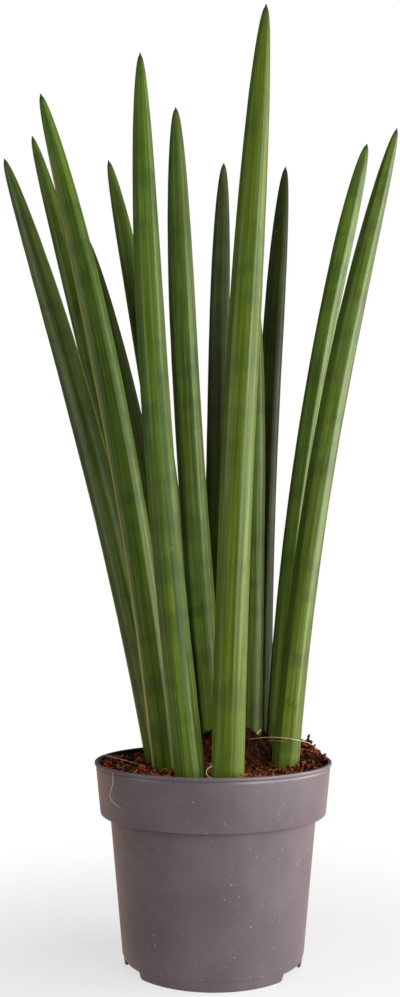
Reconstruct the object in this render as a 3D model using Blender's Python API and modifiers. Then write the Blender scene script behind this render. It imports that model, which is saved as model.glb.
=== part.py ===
"""A cylindrical snake plant in its nursery pot.

Thirteen upright ribbed leaves stand in plain holes in a mounded body of potting soil, which fills a
thin moulded pot. The origin is the middle of the pot's flat standing disc, +Z is up and -Y is the
front. Lengths are metres, and the rows that list sizes are in millimetres.
"""

import math
from dataclasses import dataclass

import bmesh
import bpy
from mathutils import Vector

MM = 0.001

# Gap that touching solids keep
GAP = 0.3 * MM

# Pot, a thin turned shell: rim, collar, body, foot ring and a raised drain channel in the floor
POT_STEPS = 72
POT_HEIGHT = 145.0 * MM
WALL = 1.2 * MM
RIM_RADIUS = 85.0 * MM
LIP_DEPTH = 2.2 * MM
LIP_STAND = 1.3 * MM
COLLAR_TOP_RADIUS = 84.0 * MM
COLLAR_LOW_RADIUS = 80.9 * MM
COLLAR_LOW = 109.0 * MM
COLLAR_ROUND = 0.9 * MM
SHOULDER = 107.2 * MM
BODY_TOP_RADIUS = 73.9 * MM
BODY_LOW_RADIUS = 65.2 * MM
FOOT_HEIGHT = 8.0 * MM
FOOT_STEP = 0.5 * MM
FOOT_RADIUS = 63.0 * MM
FLOOR = 1.5 * MM
DISC_RADIUS = 44.0 * MM
CHANNEL_HEIGHT = 5.6 * MM

# Drainage: three wide notches in the foot ring and round holes in the channel floor
NOTCH_ANGLES = (-155.5, -29.5, 90.0)
NOTCH_ARC = 27.0
NOTCH_HEIGHT = 5.0 * MM
DRAIN_HOLES = 9
DRAIN_RADIUS = 3.6 * MM
DRAIN_CIRCLE = 53.0 * MM

# Soil: level round the edge, a raised root ball in the middle and a bank of loose soil on the right
SOIL_STEPS = 60
SOIL_RINGS = 15
SOIL_LEVEL = 138.5 * MM
SOIL_EDGE_BAND = 6.0 * MM

# Gentle lumps of the soil: height in millimetres, and radians per millimetre along X and Y
ROUND_LUMPS = (0.9, 0.31, 0.27)
SLANTED_LUMPS = (0.7, 0.55, 0.48)

# Leaves: ribs round the section, stations along the length, and the part that is below the soil
RIBS = 11
STATIONS = 12
ROOT_DEPTH = 28.0 * MM
ROOT_TAPER = 0.20
LEAF_TAPER = 0.10
RIB_SWELL = 0.018
CHANNEL_SWELL = 0.12
CHANNEL_WIDTH = math.radians(30)
POINT_FULLNESS = 1.8
POINT_POWER = 0.45
TIP_RADIUS = 0.7 * MM
TIP_SPIKE = 1.6 * MM
STATION_CROWDING = 1.5

# Holes in the soil, a little wider than the leaf's ribs
HOLE_SIDES = 16
HOLE_ROOM = 0.045
HOLE_ABOVE = 16.0 * MM


@dataclass(frozen=True)
class Mound:
    """A heap of soil: its middle, its reach in X and Y, and its height, in millimetres."""

    middle: tuple
    reach: tuple
    height: float
    sharpness: float = 2.0


@dataclass(frozen=True)
class Leaf:
    """One leaf, in millimetres: foot on the soil, tip, sideways bow at mid length, greatest thickness,
    length over which it draws to its point, and the compass direction that its channel faces."""

    foot: tuple
    tip: tuple
    bow: float
    thick: float
    point: float
    channel: float


MOUNDS = (
    Mound(middle=(13, 36), reach=(34, 34), height=32, sharpness=3.0),
    Mound(middle=(70, 24), reach=(14, 24), height=16.5),
    Mound(middle=(-70, 12), reach=(12, 15), height=5),
    Mound(middle=(-40, 46), reach=(20, 20), height=4),
)

LEAVES = {
    "leaf_01": Leaf(foot=(-38.9, 29), tip=(-162.2, 60, 605), bow=9.1, thick=23.2, point=245, channel=-38),
    "leaf_02": Leaf(foot=(-36, 56), tip=(-145.5, 90, 637), bow=9.7, thick=19.7, point=198, channel=60),
    "leaf_03": Leaf(foot=(-33.7, -2), tip=(-125.1, 5, 627), bow=9.7, thick=22.9, point=222, channel=182),
    "leaf_04": Leaf(foot=(-19.4, 19.6), tip=(-98.5, 65, 546), bow=8.1, thick=18.4, point=200, channel=60),
    "leaf_05": Leaf(foot=(-16.8, 45), tip=(-84.5, 100, 622), bow=9.3, thick=19.4, point=184, channel=80),
    "leaf_06": Leaf(foot=(-15.3, -50), tip=(-49, -60, 620), bow=-6, thick=20.1, point=200, channel=95),
    "leaf_07": Leaf(foot=(-0.7, 30), tip=(-27.9, 40, 635), bow=-4.4, thick=21.5, point=166, channel=80),
    "leaf_08": Leaf(foot=(2, 66), tip=(10.7, 125, 631), bow=-1.7, thick=18.3, point=133, channel=36),
    "leaf_09": Leaf(foot=(9, -55), tip=(33, -80, 640), bow=-3.9, thick=22, point=216, channel=80),
    "leaf_10": Leaf(foot=(37.1, 52), tip=(61.7, 110, 621), bow=-4.7, thick=18.3, point=151, channel=32),
    "leaf_11": Leaf(foot=(28.5, 30), tip=(35, 60, 496), bow=0, thick=18, point=160, channel=70),
    "leaf_12": Leaf(foot=(48, 30), tip=(124.3, 80, 626), bow=-12.2, thick=16.5, point=87, channel=120),
    "leaf_13": Leaf(foot=(52.1, 0), tip=(136.5, 20, 609), bow=-11.7, thick=19.5, point=186, channel=120),
}


def clear_scene():
    for thing in list(bpy.data.objects):
        bpy.data.objects.remove(thing, do_unlink=True)


def new_collection(name):
    collection = bpy.data.collections.new(name)
    bpy.context.scene.collection.children.link(collection)
    return collection


def new_material(name, colour, roughness):
    material = bpy.data.materials.new(name)
    material.use_nodes = True
    shader = material.node_tree.nodes["Principled BSDF"]
    shader.inputs["Base Color"].default_value = (*colour, 1.0)
    shader.inputs["Roughness"].default_value = roughness
    shader.inputs["Metallic"].default_value = 0.0
    return material


def add_object(name, mesh, collection, material=None):
    thing = bpy.data.objects.new(name, mesh)
    collection.objects.link(thing)
    if material is not None:
        mesh.materials.append(material)
    return thing


def add_cutter(name, mesh, collection):
    cutter = add_object(name, mesh, collection)
    cutter.display_type = "WIRE"
    cutter.hide_render = True
    return cutter


def cut(thing, cutter):
    modifier = thing.modifiers.new(cutter.name, "BOOLEAN")
    modifier.operation = "DIFFERENCE"
    modifier.solver = "EXACT"
    modifier.object = cutter


def turned(name, profile, steps, collection, material):
    """A solid turned round Z from a profile of (radius, height) points at +X."""
    mesh = bpy.data.meshes.new(name)
    points = [(radius, 0.0, height) for radius, height in profile]
    edges = [(i, i + 1) for i in range(len(points) - 1)]
    mesh.from_pydata(points, edges, [])
    thing = add_object(name, mesh, collection, material)
    screw = thing.modifiers.new("Turn", "SCREW")
    screw.axis = "Z"
    screw.steps = steps
    screw.render_steps = steps
    screw.use_merge_vertices = True
    screw.merge_threshold = 1e-5
    return thing


def applied(thing):
    """Swaps the object's mesh for the one that its modifiers give."""
    graph = bpy.context.evaluated_depsgraph_get()
    mesh = bpy.data.meshes.new_from_object(thing.evaluated_get(graph))
    thing.modifiers.clear()
    thing.data = mesh
    return mesh


def smooth_step(value):
    value = min(max(value, 0.0), 1.0)
    return value * value * (3.0 - 2.0 * value)


def outer_wall():
    """The pot's outside, from the rim down to the foot, as (radius, height) points."""
    lip_low = POT_HEIGHT - LIP_DEPTH
    return [
        (RIM_RADIUS - 0.6 * MM, POT_HEIGHT),
        (RIM_RADIUS, POT_HEIGHT - 0.5 * MM),
        (RIM_RADIUS, lip_low),
        (RIM_RADIUS - LIP_STAND, lip_low - 0.7 * MM),
        (COLLAR_TOP_RADIUS, lip_low - 2.0 * MM),
        (COLLAR_LOW_RADIUS, COLLAR_LOW),
        (COLLAR_LOW_RADIUS - 0.3 * COLLAR_ROUND, COLLAR_LOW - 0.7 * COLLAR_ROUND),
        (COLLAR_LOW_RADIUS - COLLAR_ROUND, COLLAR_LOW - 1.3 * COLLAR_ROUND),
        (BODY_TOP_RADIUS + 0.8 * MM, SHOULDER + 0.6 * MM),
        (BODY_TOP_RADIUS, SHOULDER - 0.6 * MM),
        (BODY_LOW_RADIUS, FOOT_HEIGHT),
        (BODY_LOW_RADIUS - FOOT_STEP, FOOT_HEIGHT - 0.5 * MM),
        (FOOT_RADIUS + 0.3 * MM, 1.2 * MM),
        (FOOT_RADIUS - 0.4 * MM, 0.0),
    ]


def inner_wall():
    """The pot's inside, from the floor up to the rim, as (radius, height) points."""
    floor_top = CHANNEL_HEIGHT + FLOOR
    return [
        (BODY_LOW_RADIUS - WALL - 1.6 * MM, floor_top),
        (BODY_LOW_RADIUS - WALL + 0.1 * MM, floor_top + 1.8 * MM),
        (BODY_TOP_RADIUS - WALL, SHOULDER + 1.6 * MM),
        (COLLAR_LOW_RADIUS - COLLAR_ROUND - 0.7 * MM, COLLAR_LOW),
        (COLLAR_LOW_RADIUS - WALL, COLLAR_LOW + 2.0 * MM),
        (COLLAR_TOP_RADIUS - WALL, POT_HEIGHT - 3.0 * MM),
        (RIM_RADIUS - LIP_STAND - WALL, POT_HEIGHT - 0.6 * MM),
        (RIM_RADIUS - LIP_STAND - 0.8 * WALL, POT_HEIGHT),
    ]


def floor_top():
    """The floor seen from inside, from the middle outwards, as (radius, height) points."""
    return [
        (0.0, FLOOR),
        (DISC_RADIUS - 0.4 * MM, FLOOR),
        (DISC_RADIUS + 0.8 * MM, CHANNEL_HEIGHT + FLOOR),
    ]


def pot_profile():
    ring_inside = FOOT_RADIUS - 0.4 * MM - WALL
    underside = [
        (ring_inside, 0.0),
        (ring_inside + 0.4 * MM, CHANNEL_HEIGHT),
        (DISC_RADIUS + 2.0 * MM, CHANNEL_HEIGHT),
        (DISC_RADIUS + 0.8 * MM, 0.0),
        (0.0, 0.0),
    ]
    return floor_top() + inner_wall() + outer_wall() + underside


def notch_mesh(angle):
    """A wedge that cuts a notch of NOTCH_ARC degrees through the foot ring."""
    half = math.radians(NOTCH_ARC / 2)
    turn = math.radians(angle)
    reach = 1.15 * BODY_LOW_RADIUS
    back = DISC_RADIUS + 6.0 * MM
    low, high = -2.0 * MM, NOTCH_HEIGHT
    shape = bmesh.new()
    bmesh.ops.create_cube(shape, size=1.0)
    for vertex in shape.verts:
        away = turn + math.copysign(half, vertex.co.y)
        radius = reach if vertex.co.x > 0 else back
        height = high if vertex.co.z > 0 else low
        vertex.co = Vector((radius * math.cos(away), radius * math.sin(away), height))
    bmesh.ops.recalc_face_normals(shape, faces=shape.faces)
    mesh = bpy.data.meshes.new("notch")
    shape.to_mesh(mesh)
    shape.free()
    return mesh


def drain_mesh(angle):
    """A short upright cylinder that cuts one drain hole through the channel floor."""
    shape = bmesh.new()
    bmesh.ops.create_cone(
        shape, cap_ends=True, segments=12, radius1=DRAIN_RADIUS, radius2=DRAIN_RADIUS, depth=4 * FLOOR
    )
    middle = Vector((math.cos(angle), math.sin(angle), 0.0)) * DRAIN_CIRCLE
    middle.z = CHANNEL_HEIGHT + FLOOR / 2
    bmesh.ops.translate(shape, vec=middle, verts=shape.verts)
    mesh = bpy.data.meshes.new("drain")
    shape.to_mesh(mesh)
    shape.free()
    return mesh


def build_pot(collection, cutters):
    plastic = new_material("moulded_polypropylene", (0.135, 0.115, 0.125), 0.42)
    pot = turned("pot", pot_profile(), POT_STEPS, collection, plastic)
    applied(pot)
    for number, angle in enumerate(NOTCH_ANGLES, 1):
        cut(pot, add_cutter(f"notch_{number}", notch_mesh(angle), cutters))
    for number in range(DRAIN_HOLES):
        angle = 2 * math.pi * (number + 0.5) / DRAIN_HOLES
        cut(pot, add_cutter(f"drain_{number + 1}", drain_mesh(angle), cutters))
    applied(pot)
    pot.data.shade_smooth()
    pot.data.set_sharp_from_angle(angle=math.radians(35))
    return pot


def soil_side():
    """The soil's outline against the pot, from the floor up to the soil's edge."""
    inside = [(radius - GAP, height + GAP) for radius, height in floor_top()[1:] + inner_wall()[:5]]
    low_radius, low_height = inside[-1]
    slope = (COLLAR_TOP_RADIUS - COLLAR_LOW_RADIUS) / (POT_HEIGHT - COLLAR_LOW)
    edge_radius = low_radius + slope * (SOIL_LEVEL - low_height)
    return [(0.0, FLOOR + GAP)] + inside + [(edge_radius, SOIL_LEVEL)]


def soil_height(x, y, edge_radius):
    """Height of the soil's surface: the level, plus each heap, plus gentle lumps, flat at the wall."""
    height = 0.0
    for mound in MOUNDS:
        across = (x / MM - mound.middle[0]) / mound.reach[0]
        along = (y / MM - mound.middle[1]) / mound.reach[1]
        away = math.hypot(across, along)
        height += mound.height * math.exp(-(away**mound.sharpness))
    rise, along_x, along_y = ROUND_LUMPS
    lumps = rise * math.sin(x / MM * along_x) * math.cos(y / MM * along_y)
    rise, along_x, along_y = SLANTED_LUMPS
    lumps += rise * math.sin(x / MM * along_x + y / MM * along_y)
    inset = edge_radius - math.hypot(x, y)
    return SOIL_LEVEL + (height + lumps) * MM * smooth_step(inset / SOIL_EDGE_BAND)


def build_soil(collection):
    peat = new_material("coir_and_peat", (0.065, 0.028, 0.018), 0.95)
    side = soil_side()
    edge_radius = side[-1][0]
    top = [(edge_radius * (1 - ring / SOIL_RINGS), SOIL_LEVEL) for ring in range(1, SOIL_RINGS + 1)]
    # The profile runs from the middle of the floor up the side and back to the middle of the surface
    soil = turned("soil", list(reversed(side + top)), SOIL_STEPS, collection, peat)
    mesh = applied(soil)
    for vertex in mesh.vertices:
        if vertex.co.z > SOIL_LEVEL - 0.01 * MM:
            vertex.co.z = soil_height(vertex.co.x, vertex.co.y, edge_radius)
    return soil


class LeafForm:
    """The surface of one leaf: an axis with a parabolic bow, and a ribbed section that draws to a point."""

    def __init__(self, leaf, soil_edge):
        foot_z = soil_height(leaf.foot[0] * MM, leaf.foot[1] * MM, soil_edge)
        self.foot = Vector((leaf.foot[0] * MM, leaf.foot[1] * MM, foot_z))
        self.tip = Vector(leaf.tip) * MM
        self.bow = leaf.bow * MM
        self.length = (self.tip - self.foot).length
        self.radius = leaf.thick / 2 * MM
        self.point = leaf.point * MM
        facing = math.radians(leaf.channel)
        self.facing = Vector((math.cos(facing), math.sin(facing), 0.0))

    def axis(self, t):
        """Point of the axis: t is 0 on the soil and 1 at the tip, and below 0 it runs straight on down."""
        rise = max(t, 0.0)
        place = self.foot.lerp(self.tip, rise)
        place.x += 4 * self.bow * rise * (1 - rise)
        return place + self.direction(0.0) * min(t, 0.0)

    def direction(self, t):
        along = self.tip - self.foot
        along.x += 4 * self.bow * (1 - 2 * max(t, 0.0))
        return along

    def girth(self, t):
        """Radius of the section: nearly even up the leaf, drawn to a point over the last stretch."""
        if t < 0:
            return self.radius * (1 + ROOT_TAPER * t * self.length / ROOT_DEPTH)
        reach = min((1 - t) * self.length / self.point, 1.0)
        drawn = (1 - (1 - reach) ** POINT_FULLNESS) ** POINT_POWER
        return max(self.radius * (1 - LEAF_TAPER * t) * drawn, TIP_RADIUS)

    def frame(self, t):
        """Two directions square to the axis, the first one towards the channel."""
        along = self.direction(t).normalized()
        first = (self.facing - along * self.facing.dot(along)).normalized()
        return first, along.cross(first)

    def ring(self, t, sides, relief, room=0.0):
        """One section of the leaf. relief is 1 for full ribs and channel and 0 for a plain circle."""
        first, second = self.frame(t)
        middle = self.axis(t)
        points = []
        for side in range(sides):
            angle = 2 * math.pi * side / sides
            folded = math.remainder(angle, 2 * math.pi)
            ribs = -RIB_SWELL * math.cos(RIBS * angle)
            channel = -CHANNEL_SWELL * math.exp(-((folded / CHANNEL_WIDTH) ** 2))
            radius = self.girth(t) * (1 + relief * (ribs + channel)) + room
            points.append(middle + radius * (math.cos(angle) * first + math.sin(angle) * second))
        return points


def loft(rings, spike=None):
    """A closed solid through rings of equal count, capped below, and capped or drawn to a spike above."""
    shape = bmesh.new()
    rows = [[shape.verts.new(point) for point in ring] for ring in rings]
    for lower, upper in zip(rows, rows[1:]):
        for i in range(len(lower)):
            j = (i + 1) % len(lower)
            shape.faces.new((lower[i], lower[j], upper[j], upper[i]))
    shape.faces.new(reversed(rows[0]))
    if spike is None:
        shape.faces.new(rows[-1])
    else:
        top = shape.verts.new(spike)
        for i in range(len(rows[-1])):
            shape.faces.new((rows[-1][i], rows[-1][(i + 1) % len(rows[-1])], top))
    mesh = bpy.data.meshes.new("loft")
    shape.to_mesh(mesh)
    shape.free()
    return mesh


def leaf_mesh(form):
    root = -ROOT_DEPTH / form.length
    stations = [root, root * 0.5]
    stations += [1 - (1 - step / STATIONS) ** STATION_CROWDING for step in range(STATIONS)]
    stations.append(1.0)
    rings = []
    for t in stations:
        relief = smooth_step((t - root) / -root + 0.3) * smooth_step((1 - t) / 0.12 + 0.1)
        rings.append(form.ring(t, 2 * RIBS, relief))
    spike = form.tip + form.direction(1.0).normalized() * TIP_SPIKE
    return loft(rings, spike)


def hole_mesh(form):
    """A plain round hole round the leaf's buried part, from below its root to above the soil."""
    below = -(ROOT_DEPTH + GAP) / form.length
    above = HOLE_ABOVE / form.length
    rings = []
    for t in (below, below * 0.5, 0.0, above):
        room = HOLE_ROOM * form.radius + GAP
        rings.append(form.ring(t, HOLE_SIDES, 0.0, room))
    return loft(rings)


def build_leaf(name, form, shade, collection):
    skin = new_material(f"{name}_cuticle", shade, 0.45)
    leaf = add_object(name, leaf_mesh(form), collection, skin)
    leaf.data.shade_smooth()
    leaf.data.set_sharp_from_angle(angle=math.radians(30))
    return leaf


def main():
    clear_scene()
    plant = new_collection("cylindrical_snake_plant")
    cutters = new_collection("cutters")
    build_pot(plant, cutters)
    soil = build_soil(plant)
    soil_edge = soil_side()[-1][0]
    for number, (name, leaf) in enumerate(LEAVES.items()):
        form = LeafForm(leaf, soil_edge)
        green = 0.085 + 0.012 * math.sin(2.4 * number)
        build_leaf(name, form, (0.045, green, 0.022), plant)
        cut(soil, add_cutter(f"hole_{name}", hole_mesh(form), cutters))


main()
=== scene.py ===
"""Looks of a cylindrical snake plant in its nursery pot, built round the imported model.

The frame is in metres with +Z up, its origin is the middle of the pot's standing disc and -Y is the
front. Tables of sizes are in millimetres, as in the part's source.
"""

import logging
import math
from dataclasses import dataclass, field
from enum import Enum

import bpy
import numpy as np
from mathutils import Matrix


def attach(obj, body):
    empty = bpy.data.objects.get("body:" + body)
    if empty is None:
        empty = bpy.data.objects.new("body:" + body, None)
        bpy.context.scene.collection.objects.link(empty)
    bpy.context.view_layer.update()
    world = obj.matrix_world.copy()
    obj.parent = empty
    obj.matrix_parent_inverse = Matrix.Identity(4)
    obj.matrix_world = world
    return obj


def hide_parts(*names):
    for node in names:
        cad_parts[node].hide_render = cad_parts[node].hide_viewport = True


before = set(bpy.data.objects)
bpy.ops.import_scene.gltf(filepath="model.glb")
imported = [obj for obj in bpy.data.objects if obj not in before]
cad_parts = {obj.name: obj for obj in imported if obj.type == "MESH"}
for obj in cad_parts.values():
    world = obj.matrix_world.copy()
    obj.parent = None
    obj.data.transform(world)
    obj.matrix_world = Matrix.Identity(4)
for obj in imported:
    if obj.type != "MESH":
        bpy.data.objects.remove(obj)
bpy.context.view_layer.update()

MM = 0.001

LOG = logging.getLogger("snake_plant")


def linear(hex_colour: str) -> tuple[float, float, float, float]:
    """Turns an sRGB colour to linear light.

    Args:
        hex_colour: The colour as six hex digits, such as "6b6066".

    Returns:
        Linear red, green, blue and an alpha of 1.
    """
    shares = [int(hex_colour[place : place + 2], 16) / 255 for place in (0, 2, 4)]
    light = [s / 12.92 if s <= 0.04045 else ((s + 0.055) / 1.055) ** 2.4 for s in shares]
    return (light[0], light[1], light[2], 1.0)


def per_metre(spacing_mm: float) -> float:
    """Scale of a texture whose features lie this many millimetres apart."""
    return 1.0 / (spacing_mm * MM)


def smooth_step(value: np.ndarray | float) -> np.ndarray:
    """Smooth ramp from 0 to 1, flat at both ends."""
    share = np.clip(value, 0.0, 1.0)
    return share * share * (3.0 - 2.0 * share)


def unit(vectors: np.ndarray) -> np.ndarray:
    """Vectors scaled to length 1, along the last axis."""
    return vectors / np.linalg.norm(vectors, axis=-1, keepdims=True)


def value_noise(x: np.ndarray, y: np.ndarray, cell: float, seed: int) -> np.ndarray:
    """Smooth noise from -1 to 1: random heights on the corners of square cells, blended between.

    Args:
        x: First coordinates, in any shape.
        y: Second coordinates, in the same shape.
        cell: Side of a cell in the same unit.
        seed: Seed of the random heights.

    Returns:
        Noise in the shape of ``x``.
    """
    size = 256
    heights = np.random.default_rng(seed).uniform(-1.0, 1.0, (size, size))
    column, row = np.floor(x / cell), np.floor(y / cell)
    across, along = smooth_step(x / cell - column), smooth_step(y / cell - row)
    left, low = column.astype(int) % size, row.astype(int) % size
    right, high = (left + 1) % size, (low + 1) % size
    bottom = heights[left, low] * (1 - across) + heights[right, low] * across
    top = heights[left, high] * (1 - across) + heights[right, high] * across
    return bottom * (1 - along) + top * along


def grid_quads(rows: int, columns: int, closed: bool) -> np.ndarray:
    """Faces of a grid whose points run row by row, rows upwards and columns to the left seen from outside.

    Args:
        rows: Number of rows of points.
        columns: Number of points in a row.
        closed: Whether the last column joins the first one.

    Returns:
        Point numbers of each quad, four to a row.
    """
    row, column = np.meshgrid(
        np.arange(rows - 1), np.arange(columns if closed else columns - 1), indexing="ij"
    )
    start, after = row * columns + column, row * columns + (column + 1) % columns
    return np.stack([start, after, after + columns, start + columns], axis=-1).reshape(-1, 4)


def fan(ring: np.ndarray, centre: int, facing: bool) -> np.ndarray:
    """Triangles from a closed ring of points to one point; ``facing`` turns them over."""
    after = np.roll(ring, -1)
    middle = np.full_like(ring, centre)
    return np.stack([ring, after, middle] if facing else [after, ring, middle], axis=-1)


def add_piece(
    name: str,
    points: np.ndarray,
    faces: list[np.ndarray],
    material: bpy.types.Material,
    crease: float = math.pi,
) -> bpy.types.Object:
    """Makes a mesh object at the origin, its place in its mesh.

    Args:
        name: Name of the piece.
        points: Points, three numbers each.
        faces: Arrays of faces, each with its own number of corners.
        material: Finish of the whole piece.
        crease: Angle past which an edge stays sharp; 0 gives flat faces.

    Returns:
        The new object.
    """
    mesh = bpy.data.meshes.new(name)
    corners = [face for array in faces for face in array.tolist()]
    mesh.from_pydata(points.reshape(-1, 3).tolist(), [], corners)
    mesh.materials.append(material)
    if crease > 0:
        mesh.shade_smooth()
        mesh.set_sharp_from_angle(angle=crease)
    piece = bpy.data.objects.new(name, mesh)
    bpy.context.scene.collection.objects.link(piece)
    return piece


def set_attribute(piece: bpy.types.Object, name: str, values: np.ndarray) -> None:
    """Writes one number or one vector for each point, which materials read by name."""
    is_vector = values.ndim > 1
    kind, key = ("FLOAT_VECTOR", "vector") if is_vector else ("FLOAT", "value")
    attribute = piece.data.attributes.new(name, kind, "POINT")
    attribute.data.foreach_set(key, np.ascontiguousarray(values, dtype=np.float32).ravel())


def dress(piece: bpy.types.Object, slot: str, *nodes: str) -> None:
    """Rides a piece on the part, hides the imported nodes that it stands for, and logs its faces, its slot and
    those nodes.
    """
    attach(piece, "root")
    if nodes:
        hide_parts(*nodes)
    faces, stood = len(piece.data.polygons), nodes or "none"
    LOG.info("%s: %d faces, slot %s, stands for %s", piece.name, faces, slot, stood)


class Recipe:
    """A material's nodes, with one way to add a node."""

    def __init__(self, name: str) -> None:
        """Starts a material of that name with a Principled shader."""
        self.material = bpy.data.materials.new(name)
        self.material.use_nodes = True
        self.tree = self.material.node_tree
        self.shader = self.tree.nodes["Principled BSDF"]

    @staticmethod
    def socket(sockets: bpy.types.bpy_prop_collection, key: str) -> bpy.types.NodeSocket:
        """The socket with that identifier, or else with that name."""
        for wanted in ("identifier", "name"):
            for candidate in sockets:
                if getattr(candidate, wanted) == key:
                    return candidate
        raise KeyError(key)

    def feed(self, node: bpy.types.Node, inputs: dict) -> None:
        """Links sockets and sets plain values on a node's inputs."""
        for key, value in inputs.items():
            target = self.socket(node.inputs, key)
            if isinstance(value, bpy.types.NodeSocket):
                self.tree.links.new(value, target)
            else:
                target.default_value = value

    def add(
        self,
        kind: str,
        output: str,
        inputs: dict,
        stops: tuple[tuple[float, str], ...] = (),
        **settings: object,
    ) -> bpy.types.NodeSocket:
        """Adds a node.

        Args:
            kind: Node type without its ShaderNode prefix.
            output: Name or identifier of the output to hand back.
            inputs: Values or sockets by input name or identifier.
            stops: Places and sRGB hex colours of a colour ramp.
            **settings: Properties of the node itself.

        Returns:
            The chosen output socket.
        """
        node = self.tree.nodes.new(f"ShaderNode{kind}")
        for key, value in settings.items():
            setattr(node, key, value)
        if stops:
            ramp = node.color_ramp.elements
            while len(ramp) < len(stops):
                ramp.new(0.5)
            for element, (place, hex_colour) in zip(ramp, stops):
                element.position = place
                element.color = linear(hex_colour)
        self.feed(node, inputs)
        return self.socket(node.outputs, output)

    def mask(
        self, value: bpy.types.NodeSocket, low: float, high: float, top: float = 1.0
    ) -> bpy.types.NodeSocket:
        """A smooth mask that is 0 where ``value`` is ``low`` and ``top`` where it is ``high``."""
        span = {"Value": value, "From Min": low, "From Max": high, "To Min": 0.0, "To Max": top}
        return self.add("MapRange", "Result", span, interpolation_type="SMOOTHSTEP")

    def blend(
        self, share: bpy.types.NodeSocket | float, under: object, over: object, kind: str = "MIX"
    ) -> bpy.types.NodeSocket:
        """Lays the colour ``over`` on the colour ``under`` by a share; colours are sockets or sRGB hex."""
        layers = {"A_Color": under, "B_Color": over}
        inputs = {
            key: linear(value) if isinstance(value, str) else value for key, value in layers.items()
        }
        inputs["Factor_Float"] = share
        return self.add("Mix", "Result_Color", inputs, data_type="RGBA", blend_type=kind)


@dataclass(frozen=True)
class LeafTone:
    """Colours of one leaf's skin as sRGB hex, and the strength of its markings."""

    blade: str
    stripe: str
    young: str
    # Grey of the waxy bloom, also painted along every ridge as a painted highlight
    wax_and_ridge_sheen: str = "68784c"
    margin: str = "7d6a3e"
    banding: float = 0.50
    # Strength of the waxy bloom's patches and of the painted highlight along the ridges
    veil_and_ridge_sheen: float = 0.16
    shine: float = 0.38


class LeafTones(Enum):
    """The greens that the thirteen leaves come in; the olive and the darkest green are darkened copies,
    painted shade for back leaves that stand in shadow.
    """

    MID = LeafTone(blade="55700f", stripe="2c4205", young="60780f", margin="c2b456")
    FRESH = LeafTone(blade="5a6f0b", stripe="334705", young="61760c", veil_and_ridge_sheen=0.12)
    BRIGHT = LeafTone(blade="566b0f", stripe="2c3f05", young="64760f")
    # A darkened copy of the leaf green: painted shade for a back leaf in shadow
    OLIVE_IN_SHADE = LeafTone(blade="384610", stripe="1f2906", young="3c4a0c", margin="6e5c40", veil_and_ridge_sheen=0.08)
    GREY = LeafTone(blade="4e6416", stripe="283808", young="566e12", margin="6a5638", veil_and_ridge_sheen=0.18)
    # A darkened copy of the leaf green: painted shade for back leaves in shadow
    DARK = LeafTone(
        blade="2a3608", stripe="161f03", young="303e0a", margin="9a8458", veil_and_ridge_sheen=0.04, shine=0.18
    )


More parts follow.
